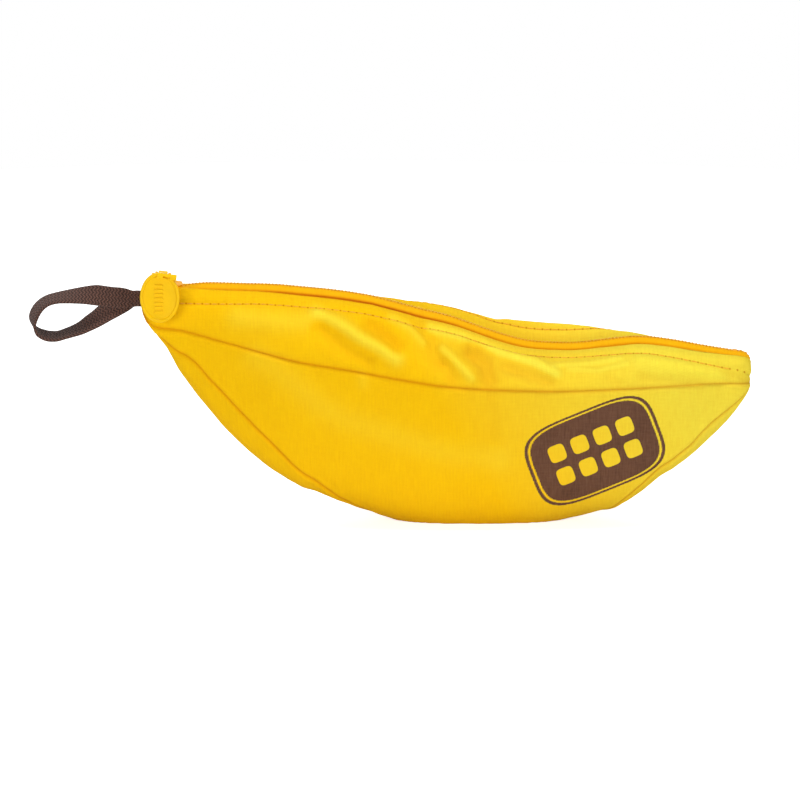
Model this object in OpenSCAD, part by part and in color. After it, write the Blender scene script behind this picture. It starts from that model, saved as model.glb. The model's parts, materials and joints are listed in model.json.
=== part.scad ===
// Banana-shaped zipped cloth pouch that holds a set of word-game tiles.
// X runs from the stem end to the tip end, Y from the front wall to the back wall, Z is up.
// The origin is on the resting face, midway along and across the pouch and its loop.

/* [Pouch] */
// Length of the cloth body from the stem end to the tip end
body_l = 264; // [245:1:290]
// Height of the zipper line at the stem end
body_h = 103; // [98:1:110]
// Widest depth of the filled body, front to back
body_d = 54; // [50:0.5:62]
// Thickness of the cotton cloth
cloth_t = 0.9; // [0.7:0.05:1.1]
// How far the zipper line drops from the stem end to the tip end
zip_drop = 28.5; // [25:0.5:31]
// Length over which each end of the body closes
nose_l = 8; // [6:0.5:10]
// Thickness of the seam bindings
binding_t = 0.7; // [0.5:0.05:0.9]

/* [Zipper] */
// Pitch of the zipper teeth
tooth_pitch = 1.5; // [1.3:0.1:2]
// Depth of the zipper chain, top to bottom
chain_t = 1.9; // [1.6:0.1:2.2]
// Half the width of the closed zipper chain
chain_half = 2.9; // [2.6:0.1:3.1]
// Thickness of the woven zipper tape
tape_t = 0.5; // [0.4:0.05:0.6]
// Length of the slider along the zipper
slider_l = 12; // [11:0.5:13]
// Wall of the slider's plates and flanges
slider_wall = 1.1; // [0.9:0.05:1.3]

/* [Pull tab] */
// Width of the oval pull tab
tab_w = 16.4; // [14:0.2:18]
// Height of the oval pull tab
tab_h = 21; // [19:0.5:23]
// Thickness of the oval pull tab
tab_t = 2; // [1.6:0.1:2.2]
// Radius of the bar that the pull link hangs on
bar_r = 0.9; // [0.8:0.05:1]
// Wall of the link's two eyes
eye_wall = 1.1; // [0.9:0.05:1.2]

/* [Webbing loop] */
// Width of the webbing
web_w = 9; // [7:0.5:9.5]
// Thickness of the webbing
web_t = 1.3; // [1:0.1:1.4]
// How far the loop reaches out from the stem end
loop_l = 50; // [42:1:58]

/* [Tiles] */
// Number of letter tiles
tile_count = 144; // [120:1:150]
// Side of a square tile
tile_w = 17.6; // [16.5:0.1:18]
// Thickness of a tile
tile_t = 4.6; // [4:0.1:4.8]
// Radius of a tile's corners
tile_r = 1.6; // [1:0.1:2.4]

/* [Hidden] */
$fn = 48;

// Running clearances
fit = 0.08;      // round a pin
gap = 0.3;       // between pieces that move past each other
seat = 0.05;     // between cloth layers that lie on each other

// The body lies from x_stem to x_tip. The loop adds to it on the stem side, and the
// origin is midway along both.
x_mid = loop_l / 2;
x_stem = x_mid - body_l / 2;
x_tip = x_mid + body_l / 2;

// Shares of the body's length, height and depth at which its curves pass. The keel
// runs below the resting plane, where the cloth lies flat.
keel = [[0, 0.865], [0.0115, 0.838], [0.036, 0.762], [0.061, 0.641], [0.11, 0.472], [0.16, 0.329], [0.209, 0.225],
        [0.258, 0.143], [0.33, 0.068], [0.43, -0.004], [0.54, -0.03], [0.66, -0.012], [0.752, 0.039],
        [0.826, 0.134], [0.9, 0.277], [0.949, 0.399], [0.98, 0.5], [1, 0.585]];
seam = [[0, 0.905], [0.03, 0.862], [0.077, 0.822], [0.143, 0.784], [0.258, 0.719], [0.34, 0.69], [0.423, 0.655],
        [0.505, 0.625], [0.587, 0.612], [0.686, 0.605], [0.883, 0.61], [1, 0.625]];
girth = [[0, 0.28], [0.06, 0.325], [0.14, 0.5], [0.26, 0.78], [0.42, 0.97], [0.52, 1], [0.69, 0.95],
         [0.785, 0.84], [0.883, 0.62], [0.95, 0.42], [1, 0.3]];
lower_round = 0.85;   // exponent of the lower section: 1 is an ellipse, less is squarer
upper_round = 1.55;   // exponent of the upper section: the roof that leans in to the zipper
foot = 0;             // height of the resting plane
top_dip = 2.5;        // how far the top edge rounds down at each end

// Zipper
zip_edge = chain_half + 2.3;                 // the cloth's top edges stand this far from the middle
end_half = web_t + 0.1 + gap + cloth_t;      // and this far where the body closes over the webbing
end_spread = 0.6;                            // the walls below stand a little further apart there
zip_slope = zip_drop / (body_l - 20);
zip_angle = atan(zip_slope);
zip_to = x_tip - 9;                          // last tooth
lip_from = x_stem + 22;                      // the top edges part between these two places
lip_to = x_tip - 22;
slider_half = chain_half + 0.4 + slider_wall + 0.3;
post_r = 1.1;
post_in = slider_l / 2 - 0.4 - post_r;       // the post stands this far from the slider's middle
slider_under = chain_t / 2 + gap + slider_wall; // the slider reaches this far above and below the chain
slider_rest = x_stem + 11.3;
slider_end = lip_to + post_in - post_r - gap;
tooth_w = tooth_pitch / 2 - 0.13;
tooth_reach = 0.5;
tape_hem = 2;                                // steps of the roof that the tape runs down under the cloth
side_gap = gap * 60 / body_h;                // degrees that leave the side seam open between moving panels

// Pull
bar_h = slider_under + gap + bar_r + fit + eye_wall; // height of the bail's bar above the chain
bar_l = 4.4;
leg_t = 1.2;
tab_y = 12.6;                                // the tab hangs this far in front of the bar
tab_top = 1.9;                               // its top edge this far above the lug's middle
tab_shift = 2;                               // and its middle this far towards the stem from the lug's
lug_w = 10;
lug_t = 1.8;
lug_rise = 2.2;                              // how far the lug climbs on its way out
pull_back = 2.6;                             // the bail stands this far behind the slider's middle
rib_n = 7;

// Webbing loop
web_z = body_h - 5.2;                        // height of the loop's middle where it leaves the stem
web_pivot = x_stem - 2;
web_round = web_w / 2;

// Tiles
tile_gap_z = 0.35;
tile_pitch = tile_w + 1;
tile_yaw = 2.2;
heap_from = x_stem + 42;
heap_to = x_tip - 22;
wall_clear = binding_t + 2 * gap;

stations_long = 34;
lower_steps = 9;
upper_steps = 6;

cloth_color = [0.97, 0.75, 0.03];
tape_color = [0.96, 0.66, 0.05];
brown_color = [0.33, 0.23, 0.19];
tile_color = [0.95, 0.92, 0.82];

// ---- smooth curves through stations -------------------------------------------------
function span_of(st, u, i = 0) = i >= len(st) - 2 || u < st[i + 1][0] ? i : span_of(st, u, i + 1);
function slope_at(st, i) =
    let (a = max(0, i - 1), b = min(len(st) - 1, i + 1)) (st[b][1] - st[a][1]) / (st[b][0] - st[a][0]);
function smooth(st, u) =
    let (i = span_of(st, u), h = st[i + 1][0] - st[i][0], t = (u - st[i][0]) / h)
    (2 * pow(t, 3) - 3 * t * t + 1) * st[i][1] + (pow(t, 3) - 2 * t * t + t) * h * slope_at(st, i)
    + (3 * t * t - 2 * pow(t, 3)) * st[i + 1][1] + (pow(t, 3) - t * t) * h * slope_at(st, i + 1);
function along(x) = (x - x_stem) / body_l;

// ---- the body's section -------------------------------------------------------------
function zip_z(x) = body_h - zip_slope * (x - x_stem - 10);
function nose(x) = let (e = min(x - x_stem, x_tip - x, nose_l)) sqrt(max(0, 1 - pow(1 - e / nose_l, 2)));
function half_width(x) = let (w = body_d / 2 * smooth(girth, along(x)), e = end_half + end_spread) e + (w - e) * nose(x);
function edge_half(x) = end_half + (zip_edge - end_half) * nose(x);
function seam_z(x) = body_h * smooth(seam, along(x));
function keel_z(x) = body_h * smooth(keel, along(x));
function top_z(x) = zip_z(x) + tape_t / 2 + seat + cloth_t - top_dip * (1 - nose(x));

// Point of the section at x. a is 0 on the front side seam, 90 on the keel, 180 on the back
// side seam, and -90 and 270 on the top edges. d is the depth below the outer surface.
function part_of(v, p) = v <= 0 ? 0 : pow(v, p);
function section(x, a, d) =
    let (side = a > 90 ? 1 : -1, b = a > 90 ? 180 - a : a, w = half_width(x))
    b >= 0
    ? [x, side * (w - d) * part_of(cos(b), lower_round),
       max(foot + d, seam_z(x) - (seam_z(x) - keel_z(x) - d) * part_of(sin(b), lower_round))]
    : [x, side * (edge_half(x) + (w - edge_half(x)) * part_of(cos(b), upper_round) - d * cos(b)),
       seam_z(x) - (top_z(x) - seam_z(x)) * sin(b) + d * sin(b)];

// Half width of the room inside at height z
function room_half(x, z) =
    let (zs = seam_z(x), w = half_width(x) - cloth_t)
    z < zs
    ? let (r = (zs - z) / (zs - keel_z(x) - cloth_t)) r >= 1 ? 0
        : w * part_of(sqrt(1 - pow(part_of(r, 1 / lower_round), 2)), lower_round)
    : let (r = (z - zs) / (top_z(x) - cloth_t - zs)) r >= 1 ? 0
        : edge_half(x) + (w - edge_half(x)) * part_of(sqrt(1 - r * r), upper_round);

// ---- lofts ---------------------------------------------------------------------------
function steps(a, b, n) = [for (i = [0:n]) a + (b - a) * i / n];
// The cloth's stations crowd together towards both ends of the body
end_steps = 6;
panel_x = concat([for (i = [0:end_steps - 1]) x_stem + (lip_from - x_stem) * (1 - cos(90 * i / end_steps))],
                 steps(lip_from, lip_to, stations_long - 2 * end_steps),
                 [for (i = [end_steps - 1:-1:0]) x_tip - (x_tip - lip_to) * (1 - cos(90 * i / end_steps))]);
// Every layer of cloth between two places uses the same stations, so layers lie on each other
function stations(from, to) = concat([from], [for (x = panel_x) if (x > from + 2 * gap && x < to - 2 * gap) x], [to]);

// Joins closed rings of equally many points. Rings run clockwise seen from their far side.
// The second half of a ring is cut into triangles along the same lines as the first, so that
// both faces of a cloth have the same creases. back gives the mirrored piece.
function mirrored(ring) = [for (i = [len(ring) - 1:-1:0]) [ring[i][0], -ring[i][1], ring[i][2]]];
module loft(front_rings, back = false) {
    rings = back ? [for (r = front_rings) mirrored(r)] : front_rings;
    n = len(rings);
    k = len(rings[0]);
    sides = [for (i = [0:n - 2], j = [0:k - 1])
        let (a = i * k + j, b = i * k + (j + 1) % k)
        each j < k / 2 ? [[a, b, b + k], [a, b + k, a + k]] : [[a, b, a + k], [b, b + k, a + k]]];
    polyhedron([for (r = rings) each r],
        concat(sides, [[for (j = [k - 1:-1:0]) j]], [[for (j = [0:k - 1]) (n - 1) * k + j]]), convexity = 8);
}

// A band of cloth that follows the body between two depths
function band_ring(x, angles, d0, d1) =
    concat([for (a = angles) section(x, a, d1)], [for (i = [len(angles) - 1:-1:0]) section(x, angles[i], d0)]);
module band(xs, angles, d0, d1, back = false) loft([for (x = xs) band_ring(x, angles, d0, d1)], back);

module in_zip(x) translate([x, 0, zip_z(x)]) rotate([0, zip_angle, 0]) children();

// ---- cloth ---------------------------------------------------------------------------
lower_step = 90 / lower_steps;
upper_step = (90 - side_gap) / upper_steps;
module lower_panel(back) color(cloth_color) band(panel_x, steps(0, 90, lower_steps), 0, cloth_t, back);

module upper_panel(back) color(cloth_color)
    band(stations(lip_from + gap, lip_to - gap), steps(-90, -side_gap, upper_steps), 0, cloth_t, back);

// Cloth above the side seams at an end, where the two walls never part
module end_cap(from, to) color(cloth_color) for (back = [false, true])
    band(stations(from, to), steps(-90, 0, upper_steps), 0, cloth_t, back);

// Folded strips that the walls are sewn over at both ends
module end_seams() color(cloth_color) {
    inner = end_half + end_spread - cloth_t - seat;
    translate([x_tip - 4, -inner, seam_z(x_tip)]) cube([4.6, 2 * inner, top_z(x_tip) - 1.5 - seam_z(x_tip)]);
    low = keel_z(x_stem) + cloth_t + 0.5;
    translate([x_stem, -web_t, low]) cube([5, 2 * web_t, web_z - web_round - gap - low]);
}

// Bindings follow the panels' own stations and angles, so they lie on the cloth all along
module binding(from, to, back) {
    d = cloth_t + seat;
    color(cloth_color)
        band([for (x = panel_x) if (x > x_stem + 12 && x < x_tip - 10) x], steps(from, to, (to - from) / lower_step), d, d + binding_t, back);
}

// ---- zipper --------------------------------------------------------------------------
// The tape lies flat beside the chain and then runs down inside the cloth's top hem
function tape_layer(x, z, d) =
    concat([[x, -(chain_half + seat), z]], [for (i = [0:tape_hem]) section(x, -90 + i * upper_step, d)]);
function tape_ring(x) =
    let (top = tape_layer(x, zip_z(x) + tape_t / 2, cloth_t + seat),
         low = tape_layer(x, zip_z(x) - tape_t / 2, cloth_t + seat + tape_t))
    concat(low, [for (i = [len(top) - 1:-1:0]) top[i]]);
module tape(side, from, to) color(tape_color) loft([for (x = stations(from, to)) tape_ring(x)], side > 0);

// One row of teeth: a comb whose teeth stand in the gaps of the other row
module teeth(side, from, to) {
    run = (to - from) / cos(zip_angle);
    n = floor((run - tooth_pitch) / tooth_pitch);
    shift = side < 0 ? 0 : tooth_pitch / 2;
    color(tape_color) in_zip(from) translate([0, 0, -chain_t / 2]) linear_extrude(chain_t)
        scale([1, side, 1]) polygon(concat(
            [[0, chain_half], [0, tooth_reach + 0.25]],
            [for (i = [0:n]) let (x = i * tooth_pitch + shift + 0.1) each
                [[x, tooth_reach + 0.25], [x, -tooth_reach], [x + tooth_w, -tooth_reach], [x + tooth_w, tooth_reach + 0.25]]],
            [[run, tooth_reach + 0.25], [run, chain_half]]));
}

module zip_end(from, to) {
    for (side = [-1, 1]) {
        tape(side, from, to);
        teeth(side, from, to);
    }
}

// Metal stops clamped on the tape: one on each side behind the closed slider, one across the end
module zip_top_stops() color(tape_color) for (side = [-1, 1])
    in_zip(slider_rest - slider_l / 2 - 1.2) translate([-1, side * (chain_half - 0.6) - 0.8, -chain_t / 2]) difference() {
        cube([2, 1.6, chain_t]);
        translate([-1, side > 0 ? 0.6 : -1, (chain_t - tape_t) / 2 - seat]) cube([4, 2, tape_t + 2 * seat]);
    }
module zip_bottom_stop() color(tape_color) in_zip(zip_to + 0.6) translate([0, -chain_half, -chain_t / 2])
    cube([1.8, 2 * chain_half, chain_t]);

// ---- slider and pull -------------------------------------------------------------------
module slider_outline(grow) intersection() {
    square([slider_l, 2 * slider_half + 2 * grow], center = true);
    circle(r = slider_l / 2 + 0.9);
}

module slider_body() color(cloth_color) in_zip(slider_rest) {
    channel = chain_t / 2 + gap;
    slot = tape_t / 2 + gap;
    difference() {
        translate([0, 0, -channel - slider_wall]) linear_extrude(2 * (channel + slider_wall)) slider_outline(0);
        translate([-slider_l, -chain_half - gap, -channel]) cube([2 * slider_l, 2 * (chain_half + gap), 2 * channel]);
        translate([-slider_l, -2 * slider_half, -slot]) cube([2 * slider_l, 4 * slider_half, 2 * slot]);
    }
    translate([-post_in, 0, -channel]) cylinder(r = post_r, h = 2 * channel);
}

module slider_bail() color(cloth_color) in_zip(slider_rest) translate([-pull_back, 0, 0]) {
    deck = slider_under;
    for (end = [-1, 1]) translate([end * (bar_l + leg_t) / 2 - leg_t / 2, 0, 0]) {
        translate([0, -1.5, deck]) cube([leg_t, 3, bar_h - deck]);
        translate([0, 0, bar_h]) rotate([0, 90, 0]) cylinder(r = 1.5, h = leg_t);
    }
    translate([-bar_l / 2 - leg_t / 2, 0, bar_h]) rotate([0, 90, 0]) cylinder(r = bar_r, h = bar_l + leg_t);
}

module oval(w, h, t) linear_extrude(t) polygon([for (i = [0:63]) [w / 2 * cos(i * 5.625), h / 2 * sin(i * 5.625)]]);
module along_x(r, l) rotate([0, 90, 0]) cylinder(r = r, h = l, center = true);

// The tab hangs beside the slider from a lug that reaches back over it and goes round the bar
module pull_tab() color(cloth_color) in_zip(slider_rest) translate([-pull_back, 0, bar_h]) {
    eye_w = bar_l - 2 * gap;
    eye_r = bar_r + fit + eye_wall;
    drop = tab_h / 2 - tab_top;
    difference() {
        union() {
            along_x(eye_r, eye_w);
            rotate([-atan(lug_rise / tab_y), 0, 0]) {
                translate([-eye_w / 2, -tab_y, -lug_t / 2]) cube([eye_w, tab_y, lug_t]);
                translate([-lug_w / 2, -tab_y, -lug_t / 2]) cube([lug_w, tab_y - eye_r - gap - 1.5, lug_t]);
            }
        }
        along_x(bar_r + fit, 2 * eye_w);
    }
    translate([0, -tab_y, lug_rise]) rotate([0, -zip_angle, 0]) translate([-tab_shift, 0, 0]) {
        difference() {
            translate([0, tab_t / 2, -drop]) rotate([90, 0, 0]) oval(tab_w, tab_h, tab_t);
            // shallow recess inside the rim
            translate([0, -tab_t / 2 + 0.4, -drop - 1]) rotate([90, 0, 0]) oval(tab_w - 3.2, tab_h - 5.6, 1);
        }
        // grip ribs in the recess
        for (i = [0:rib_n - 1])
            translate([-2, -tab_t / 2, -drop - 1 + (i - (rib_n - 1) / 2) * 1.7 - 0.3]) cube([4, 0.5, 0.6]);
    }
}

// ---- webbing loop ----------------------------------------------------------------------
// Centre line of the webbing from the pivot out and back, as shares of the loop's reach, then
// the turn of its width from upright to lying across
loop_line = [[0, 0, 0], [0.1, 0.004, 0], [0.225, 0.026, 0], [0.353, 0.034, 4], [0.481, 0.034, 15], [0.608, 0.026, 46],
             [0.736, 0.004, 65], [0.821, -0.022, 72], [0.906, -0.083, 80], [0.966, -0.165, 86], [0.966, -0.235, 88],
             [0.923, -0.293, 85], [0.855, -0.319, 78], [0.77, -0.323, 74], [0.685, -0.302, 72], [0.6, -0.262, 66],
             [0.515, -0.214, 50], [0.43, -0.17, 30], [0.345, -0.131, 14], [0.225, -0.075, 4], [0.1, -0.022, 0], [0, 0, 0]];
function loop_knots(k) = [for (i = [0:len(loop_line) - 1]) [i / (len(loop_line) - 1), loop_line[i][k]]];
loop_rings = 42;
loop_reach = loop_l + 1;
// 1 where the two strands lie side by side, 0 where they are far apart
function strands_apart(u) = let (e = min(u, 1 - u), s = min(1, max(0, (e - 0.17) / 0.12))) 1 - s * s * (3 - 2 * s);
function loop_point(u) =
    let (x = smooth(loop_knots(0), u), z = smooth(loop_knots(1), u))
    [web_pivot - loop_reach * x, (u < 0.5 ? -1 : 1) * (web_t / 2 + 0.04) * strands_apart(u), web_z + loop_reach * z];
function loop_ring(u) =
    let (p = loop_point(u), q = loop_point(min(1, u + 0.01)) - loop_point(max(0, u - 0.01)),
         t = [q[0], 0, q[2]] / norm([q[0], 0, q[2]]), n = [t[2], 0, -t[0]],
         turn = smooth(loop_knots(2), u), wide = n * cos(turn) + [0, 1, 0] * sin(turn),
         thick = cross(t, wide))
    [for (c = [[1, 0.6], [1, -0.6], [0.85, -1], [-0.85, -1], [-1, -0.6], [-1, 0.6], [-0.85, 1], [0.85, 1]])
        p + wide * c[0] * web_w / 2 + thick * c[1] * web_t / 2];
module webbing_loop() color(brown_color) {
    loft([for (i = [0:loop_rings]) loop_ring(i / loop_rings)]);
    translate([web_pivot, 0, web_z]) rotate([90, 0, 0]) cylinder(r = web_round, h = 2 * web_t + 0.2, center = true);
}

// Sewn end of the webbing, caught between the two walls behind the pivot
module webbing_tail() color(brown_color) difference() {
    low = web_z - web_round;
    translate([web_pivot + web_round - 2, -web_t, low]) cube([8, 2 * web_t, zip_z(x_stem + 9) - slider_under - gap - low]);
    translate([web_pivot, 0, web_z]) rotate([90, 0, 0]) cylinder(r = web_round + gap, h = 4 * web_t, center = true);
}

// ---- tiles -----------------------------------------------------------------------------
tile_step = tile_t + tile_gap_z;
tile_floor = foot + cloth_t + seat + binding_t + gap;
layers = floor((body_h - tile_floor) / tile_step);
columns = 9;
function column_x(i) = (heap_from + heap_to) / 2 + (i - (columns - 1) / 2) * tile_pitch;
function room_for(x, z) =
    min([for (ex = [-tile_pitch / 2, tile_pitch / 2], ez = [0, tile_t]) room_half(x + ex, z + ez)]);
function under_zip(x, z) = z + tile_t < zip_z(x + tile_pitch / 2) - 8;
slots = [for (k = [0:layers - 1], i = [0:columns - 1])
    let (x = column_x(i), z = tile_floor + k * tile_step, room = room_for(x, z) - wall_clear,
         n = under_zip(x, z) ? min(2, floor((2 * room + 1) / tile_pitch)) : 0)
    for (j = [0:1:n - 1]) [x, (j - (n - 1) / 2) * tile_pitch, z, i]];
turns = rands(-tile_yaw, tile_yaw, 400, 7);

module tile() {
    c = tile_w / 2 - tile_r;
    linear_extrude(tile_t) union() {
        square([tile_w, 2 * c], center = true);
        square([2 * c, tile_w], center = true);
        for (sx = [-1, 1], sy = [-1, 1]) translate([sx * c, sy * c]) circle(r = tile_r);
    }
}
// The tiles that stand in one column, counted from the stem
module letter_tiles(column) {
    for (i = [0:min(tile_count, len(slots)) - 1]) if (slots[i][3] == column - 1)
        color(tile_color) translate([slots[i][0], slots[i][1], slots[i][2]]) rotate(turns[i]) tile();
}
travel = (slider_end - slider_rest) / cos(zip_angle);
echo(slots = len(slots), top_tile = slots[tile_count - 1], per_column = [for (c = [0:columns - 1]) len([for (i = [0:min(tile_count, len(slots)) - 1]) if (slots[i][3] == c) 1])]);
echo(travel = travel, angle = zip_angle, bar = [slider_rest + sin(zip_angle) * bar_h - cos(zip_angle) * pull_back, zip_z(slider_rest) + cos(zip_angle) * bar_h + sin(zip_angle) * pull_back]);
echo(loop_pivot = [web_pivot, web_z], seam_low = min([for (x = panel_x) seam_z(x)]), wall = half_width(x_stem + body_l / 2));

lower_panel(false);  // front_lower_panel
lower_panel(true);  // back_lower_panel
end_cap(x_stem, lip_from);  // stem_end_cap
end_cap(lip_to, x_tip);  // tip_end_cap
for (back = [false, true]) binding(90 - lower_step, 90, back);  // keel_binding
binding(0, lower_step, false);  // front_seam_binding
binding(0, lower_step, true);  // back_seam_binding
upper_panel(false);  // front_upper_panel
upper_panel(true);  // back_upper_panel
tape(-1, lip_from, lip_to - seat);  // front_zip_tape
tape(1, lip_from, lip_to - seat);  // back_zip_tape
teeth(-1, lip_from, lip_to - seat);  // front_zip_teeth
teeth(1, lip_from, lip_to - seat);  // back_zip_teeth
zip_end(slider_rest - post_in + post_r + gap, lip_from - seat);  // stem_zip_end
zip_end(lip_to, zip_to);  // tip_zip_end
zip_top_stops();
zip_bottom_stop();
end_seams();
slider_body();
slider_bail();
pull_tab();
webbing_loop();
webbing_tail();
letter_tiles(1);  // letter_tiles_1
letter_tiles(2);  // letter_tiles_2
letter_tiles(3);  // letter_tiles_3
letter_tiles(4);  // letter_tiles_4
letter_tiles(5);  // letter_tiles_5
letter_tiles(6);  // letter_tiles_6
letter_tiles(7);  // letter_tiles_7
letter_tiles(8);  // letter_tiles_8
letter_tiles(9);  // letter_tiles_9
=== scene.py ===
import json
import math
from functools import partial

import bmesh
import bpy
import numpy as np
from mathutils import Matrix, Vector, noise


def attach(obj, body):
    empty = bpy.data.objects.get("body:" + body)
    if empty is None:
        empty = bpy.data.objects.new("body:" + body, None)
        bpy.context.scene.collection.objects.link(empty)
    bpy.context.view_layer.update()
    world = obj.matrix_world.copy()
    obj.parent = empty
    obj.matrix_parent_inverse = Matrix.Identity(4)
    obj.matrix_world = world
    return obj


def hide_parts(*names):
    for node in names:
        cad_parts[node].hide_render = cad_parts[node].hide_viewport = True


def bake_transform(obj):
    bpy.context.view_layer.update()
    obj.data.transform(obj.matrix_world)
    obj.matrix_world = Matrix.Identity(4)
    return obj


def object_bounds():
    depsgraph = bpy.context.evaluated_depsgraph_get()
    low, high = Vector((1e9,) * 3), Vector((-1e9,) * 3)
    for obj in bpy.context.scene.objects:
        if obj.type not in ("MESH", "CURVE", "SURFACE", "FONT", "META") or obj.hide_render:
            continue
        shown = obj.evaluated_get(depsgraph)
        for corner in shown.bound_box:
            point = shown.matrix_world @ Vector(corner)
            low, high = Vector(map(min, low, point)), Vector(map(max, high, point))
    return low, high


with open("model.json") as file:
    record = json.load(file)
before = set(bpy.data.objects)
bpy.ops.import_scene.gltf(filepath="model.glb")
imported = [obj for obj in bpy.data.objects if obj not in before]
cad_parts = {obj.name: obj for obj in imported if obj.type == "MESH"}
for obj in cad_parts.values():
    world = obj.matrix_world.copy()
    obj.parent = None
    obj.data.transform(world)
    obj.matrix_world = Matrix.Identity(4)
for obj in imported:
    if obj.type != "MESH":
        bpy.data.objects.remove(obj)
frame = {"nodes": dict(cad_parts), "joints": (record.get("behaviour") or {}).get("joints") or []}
cad_box = [list(corner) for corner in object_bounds()]

# ---- Studio ------------------------------------------------------------------------------
# A pale table, a long lens a little above it, and soft lamps. The case was photographed on
# white from some way off, so its lines hardly converge.
MM = 0.001
PHOTO_SIDE = 800         # pixels along a side of the photograph
PIXEL = 0.434            # millimetres of the case in a pixel of the photograph
PIXEL_ORIGIN = 143       # the stem end's pixel column
GROUND_ROW = 524         # the pixel row of the resting edge
GROUND_DROP = 2.2        # that edge lies this far below the origin's row, in millimetres
ELEVATION = math.radians(12.5)
X_STEM, X_TIP = -107.0, 157.0
CASE_MIDDLE = Vector((0.03, 0, 0.05))

camera_data = bpy.data.cameras.new("studio_camera")
camera = bpy.data.objects.new("studio_camera", camera_data)
bpy.context.scene.collection.objects.link(camera)
bpy.context.scene.camera = camera
camera_data.sensor_width = 36
camera_data.lens = 200
camera_data.clip_end = 20
camera_distance = PHOTO_SIDE * PIXEL * MM * camera_data.lens / camera_data.sensor_width
aim = Vector(((X_STEM + (PHOTO_SIDE / 2 - PIXEL_ORIGIN) * PIXEL) * MM, 0,
              ((GROUND_ROW - PHOTO_SIDE / 2) * PIXEL - GROUND_DROP) / math.cos(ELEVATION) * MM))
camera.location = aim + camera_distance * Vector((0, -math.cos(ELEVATION), math.sin(ELEVATION)))
camera.rotation_euler = (math.pi / 2 - ELEVATION, 0, 0)


def lamp(name, place, size, watts, colour):
    """A square soft lamp at a place in metres, turned to the middle of the case."""
    data = bpy.data.lights.new(name, "AREA")
    data.energy = watts
    data.size = size
    data.color = colour
    light = bpy.data.objects.new(name, data)
    bpy.context.scene.collection.objects.link(light)
    light.location = place
    light.rotation_euler = (CASE_MIDDLE - Vector(place)).to_track_quat("-Z", "Y").to_euler()


lamp("overhead_lamp", (0.05, -0.05, 1.0), 0.25, 5.8, (1, 0.985, 0.96))
lamp("right_lamp", (0.9, -1.0, 0.12), 0.6, 9.3, (1, 0.99, 0.97))
lamp("left_lamp", (-0.8, -1.1, 0.13), 0.8, 9.9, (1, 0.975, 0.94))
lamp("rear_lamp", (-0.2, 1.0, 0.6), 0.7, 3.0, (1, 1, 1))


def fill(tree, made, values):
    """Sets or links the inputs of a node."""
    for key, value in values.items():
        if isinstance(value, bpy.types.NodeSocket):
            tree.links.new(value, made.inputs[key])
        else:
            made.inputs[key].default_value = value


def node(tree, kind, values=None, **settings):
    """A new node, with its settings and its inputs."""
    made = tree.nodes.new(kind)
    for key, value in settings.items():
        setattr(made, key, value)
    fill(tree, made, values or {})
    return made


def math_node(tree, operation, *values, clamp=False):
    """The result of some arithmetic, as a socket."""
    made = node(tree, "ShaderNodeMath", {i: v for i, v in enumerate(values)}, operation=operation)
    made.use_clamp = clamp
    return made.outputs[0]


def speckle(tree, place, scale, detail):
    """Smooth noise, as a socket from 0 to 1."""
    return node(tree, "ShaderNodeTexNoise", {"Vector": place, "Scale": scale, "Detail": detail}).outputs[0]


def parts_of(tree, place):
    """The three numbers of a place."""
    return node(tree, "ShaderNodeSeparateXYZ", {0: place}).outputs


def new_material(name):
    """A material, its node tree, its main shader, and a short call for arithmetic in that tree."""
    material = bpy.data.materials.new(name)
    material.use_nodes = True
    tree = material.node_tree
    return material, tree, tree.nodes["Principled BSDF"], partial(math_node, tree)


bpy.context.scene.view_settings.view_transform = "Standard"
# the room is seen white, and a fifth of that lights the case
world = bpy.data.worlds.new("white_room")
bpy.context.scene.world = world
world.use_nodes = True
room = world.node_tree
look = node(room, "ShaderNodeLightPath")
level = math_node(room, "MULTIPLY_ADD", look.outputs["Is Camera Ray"], 0.8, 0.2)
fill(room, room.nodes["Background"], {"Color": (1, 1, 1, 1), "Strength": level})

floor_mesh = bpy.data.meshes.new("table_top")
floor_form = bmesh.new()
bmesh.ops.create_circle(floor_form, cap_ends=True, segments=64, radius=0.95)
floor_form.to_mesh(floor_mesh)
floor_form.free()
table_top = bpy.data.objects.new("table_top", floor_mesh)
bpy.context.scene.collection.objects.link(table_top)
table_top.location.z = cad_box[0][2] - 0.0001
white_table, tree, shader, _ = new_material("white_table")
fill(tree, shader, {"Base Color": (0.94, 0.94, 0.94, 1), "Roughness": 0.8})
look = node(tree, "ShaderNodeLightPath")
glow = node(tree, "ShaderNodeEmission", {"Color": (1, 1, 1, 1), "Strength": 0.75})
bright = node(tree, "ShaderNodeAddShader", {0: shader.outputs[0], 1: glow.outputs[0]})
seen = node(tree, "ShaderNodeMixShader",
            {0: look.outputs["Is Camera Ray"], 1: shader.outputs[0], 2: bright.outputs[0]})
tree.links.new(seen.outputs[0], tree.nodes["Material Output"].inputs["Surface"])
floor_mesh.materials.append(white_table)

# ---- Cotton body: form and cloth -----------------------------------------------------------
# A shell of heavy cotton canvas, sewn from two lower walls and two roof panels. It follows the
# solid model's stations, and the zipper's line wanders off its straight run by up to 9 mm, as
# the filled cloth does.
BODY_L, BODY_H, HALF_D = 264.0, 103.0, 27.0     # length, height and half depth
CLOTH = 0.9                                     # thickness of the canvas
CHAIN_HALF, TAPE = 2.9, 0.5                     # half width of the zipper's chain, and its tape
ZIP_SLOPE = 28.5 / (BODY_L - 20)                # fall of the zipper along its run
ZIP_EDGE = CHAIN_HALF + 2.3                     # half width between the roof's top edges
END_HALF, END_SPREAD = 2.6, 0.6                 # half width at the ends, and more below the top
NOSE = 8.0                                      # run over which the ends round off
TOP_DIP = 2.5                                   # how much lower the top edges are at the ends
LOWER_ROUND, ROOF_ROUND = 0.85, 1.55            # fullness of the section below and above its seams
HUMP_RISE, HUMP_SPREAD = 0.86, 0.13             # where the back roof's hump is on the way up
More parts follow.
